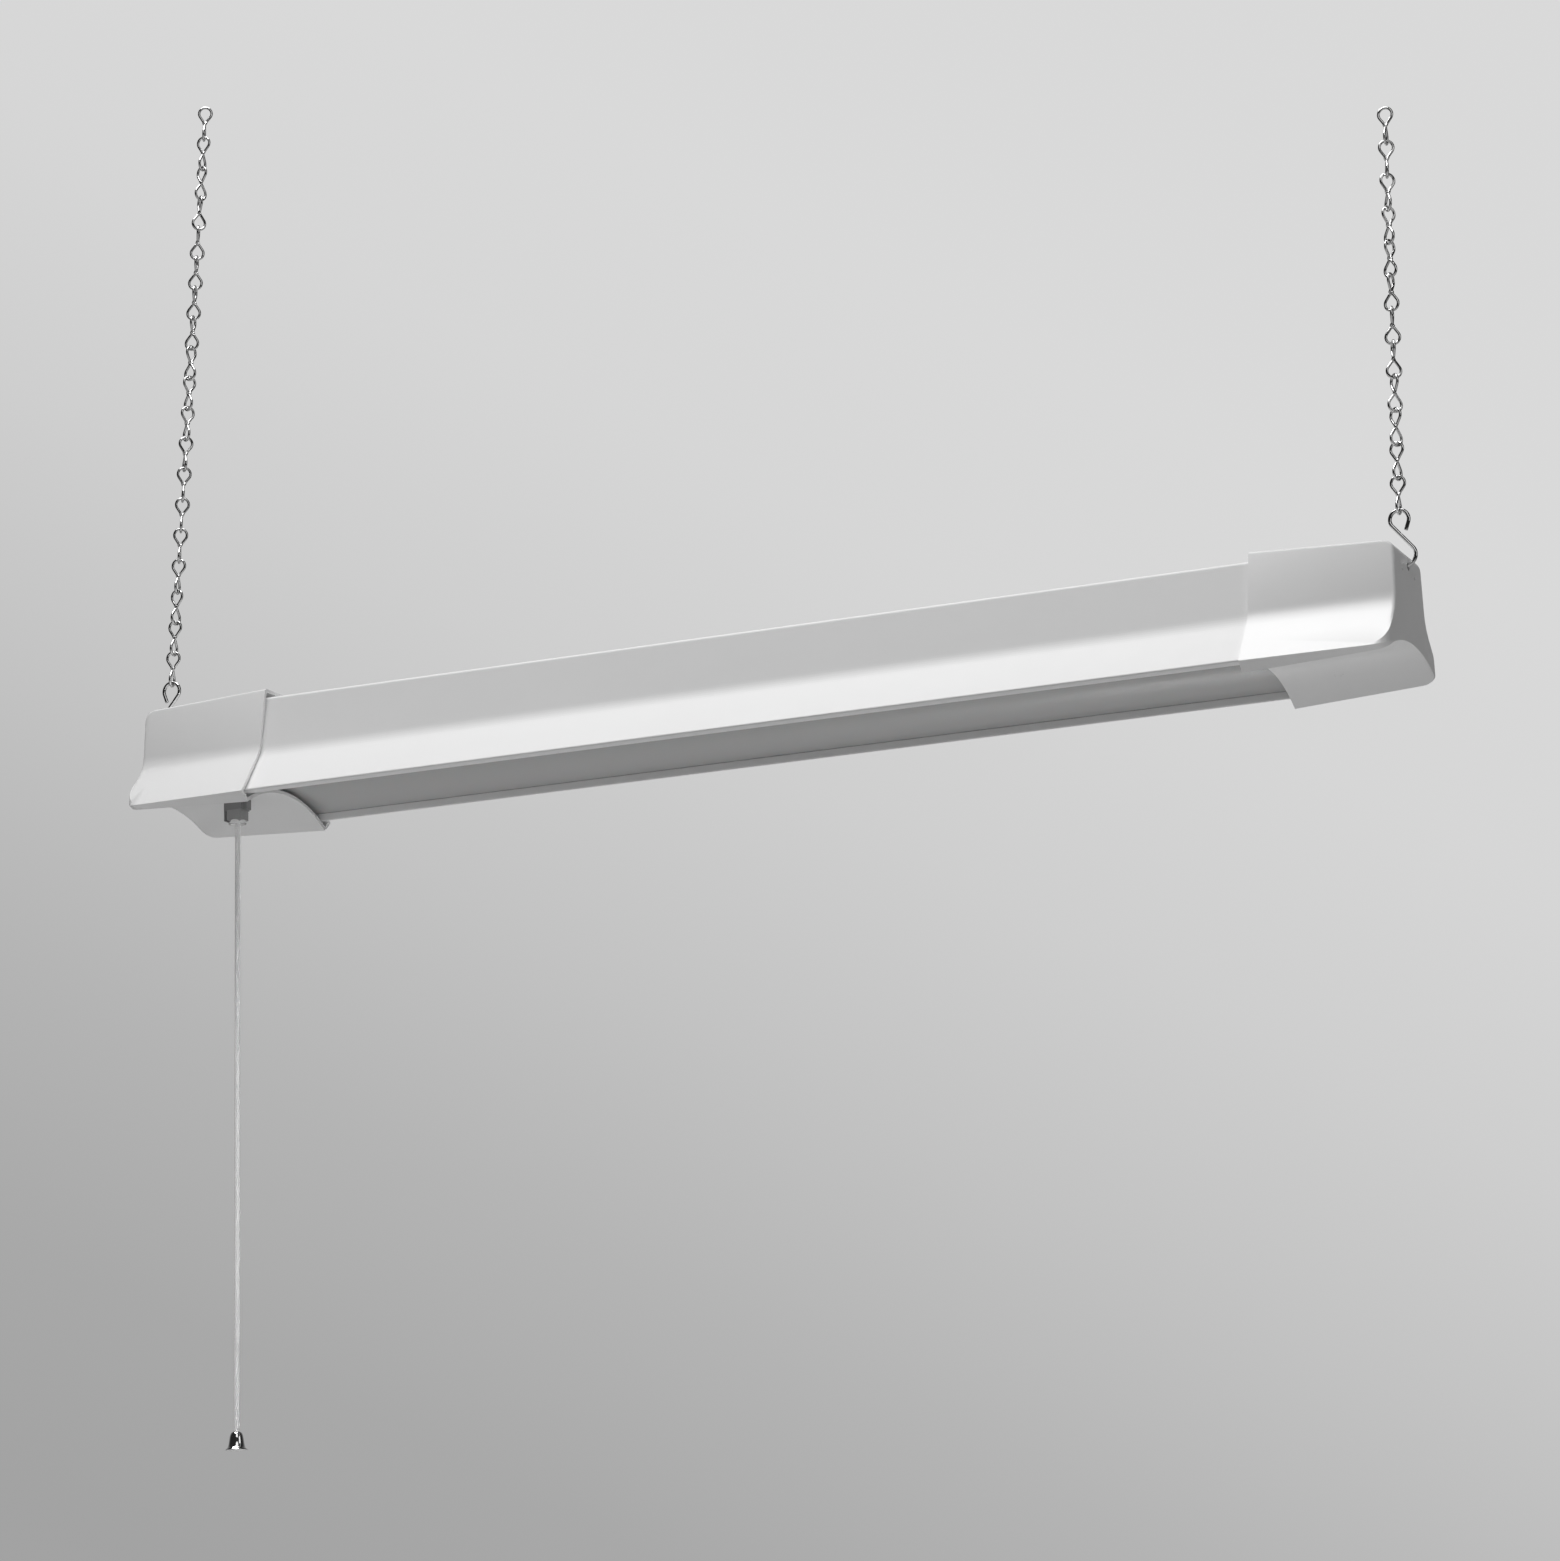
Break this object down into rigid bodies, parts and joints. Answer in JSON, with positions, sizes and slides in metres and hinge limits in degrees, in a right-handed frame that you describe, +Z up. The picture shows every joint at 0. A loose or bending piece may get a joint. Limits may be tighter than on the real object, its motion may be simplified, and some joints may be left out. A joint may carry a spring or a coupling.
{
  "type": "hanging shop light",
  "caption": "Long shop light with a flared steel housing, arched diffuser and moulded end caps, hung on jack chains and S-hooks, with a pull-cord switch ending in a small bell.",
  "frame": {"origin": "on the line between the two chains' hanging points, above the middle of the lamp", "axes": "+Z up, +X along the lamp away from the pull switch, +Y from the pictured front to the back"},
  "size_m": [1.1878, 0.1628, 1.2504],
  "materials": {
    "white_paint": "satin white",
    "white_plastic": "satin white",
    "lens": "frosted",
    "zinc": "zinc plated",
    "chrome": "polished",
    "board": "white",
    "lamp": "yellow",
    "driver_metal": "satin",
    "green_board": "green",
    "winding": "yellow",
    "capacitor": "dark blue",
    "dark_plastic": "dark grey",
    "grey_plastic": "grey",
    "pale_plastic": "ivory",
    "contact_brass": "plain",
    "cord": "white",
    "black_wire": "black",
    "white_wire": "white",
    "red_wire": "red"
  },
  "bodies": {
    "ceiling_links": {"left_ceiling_link": "zinc", "right_ceiling_link": "zinc"},
    "chains": {"left_chain": "zinc", "right_chain": "zinc"},
    "hooks": {"left_hook": "zinc", "right_hook": "zinc"},
    "fixture": {"housing_channel": "white_paint", "left_end_cap": "white_plastic", "right_end_cap": "white_plastic", "diffuser": "lens", "cap_screws": "zinc", "left_hook_plate": "zinc", "right_hook_plate": "zinc", "plate_screws": "zinc", "gear_tray": "white_paint", "standoffs": "zinc", "tray_screws": "zinc", "left_led_board": "board", "right_led_board": "board", "left_leds": "lamp", "right_leds": "lamp", "board_screws": "zinc", "driver_case": "driver_metal", "driver_cover": "driver_metal", "driver_board": "green_board", "driver_transformer": "winding", "driver_capacitors": "capacitor", "driver_screws": "zinc", "tray_grommet": "dark_plastic", "cord_gland": "dark_plastic", "gland_nut": "dark_plastic", "terminal_block": "pale_plastic", "switch_case": "dark_plastic", "switch_cover": "dark_plastic", "rotor_pin": "zinc", "switch_contacts": "contact_brass", "switch_block": "grey_plastic", "switch_nut": "dark_plastic", "bell_mouth": "chrome", "return_spring": "zinc", "live_lead": "black_wire", "switched_lead": "black_wire", "neutral_lead": "white_wire", "lamp_lead": "red_wire"},
    "rotor": {"switch_rotor": "pale_plastic"},
    "pull_rod": {"pull_rod": "zinc", "rod_collar": "zinc"},
    "cord_ball": {"cord_ball": "pale_plastic"},
    "pull_cord": {"pull_cord": "cord", "cord_knot": "cord", "cord_bell": "chrome"}
  },
  "joints": [
    {"name": "chain_swing", "type": "hinge", "parent": "ceiling_links", "child": "chains", "pos_m": [-0.5435, 0, 0.06632], "axis": [0.9844, 0, -0.1758], "range_deg": [-15, 15]},
    {"name": "hook_swing", "type": "hinge", "parent": "chains", "child": "hooks", "pos_m": [0, 0, -0.45138], "axis": [1, 0, 0], "range_deg": [-20, 20]},
    {"name": "lamp_tilt", "type": "hinge", "parent": "hooks", "child": "fixture", "pos_m": [0, 0, -0.49907], "axis": [1, 0, 0], "range_deg": [-15, 15]},
    {"name": "cord_pull", "type": "slide", "parent": "fixture", "child": "pull_rod", "axis": [0, 0, -1], "range_m": [0, 0.009], "stiffness_N_per_m": 250, "springref_m": -0.006, "deforming": ["return_spring"]},
    {"name": "rotor_turn", "type": "hinge", "parent": "fixture", "child": "rotor", "pos_m": [-0.5041, 0, -0.53943], "axis": [0, 1, 0], "range_deg": [-2, 47]},
    {"name": "cord_swing_x", "type": "hinge", "parent": "pull_rod", "child": "cord_ball", "pos_m": [-0.511, 0, -0.58588], "axis": [1, 0, 0], "range_deg": [-20, 20]},
    {"name": "cord_swing_y", "type": "hinge", "parent": "cord_ball", "child": "pull_cord", "pos_m": [-0.511, 0, -0.58588], "axis": [0, 1, 0], "range_deg": [-20, 20]}
  ],
  "couplings": [
    {"joint": "rotor_turn", "follows": "cord_pull", "rad_per_m": 87.266}
  ]
}
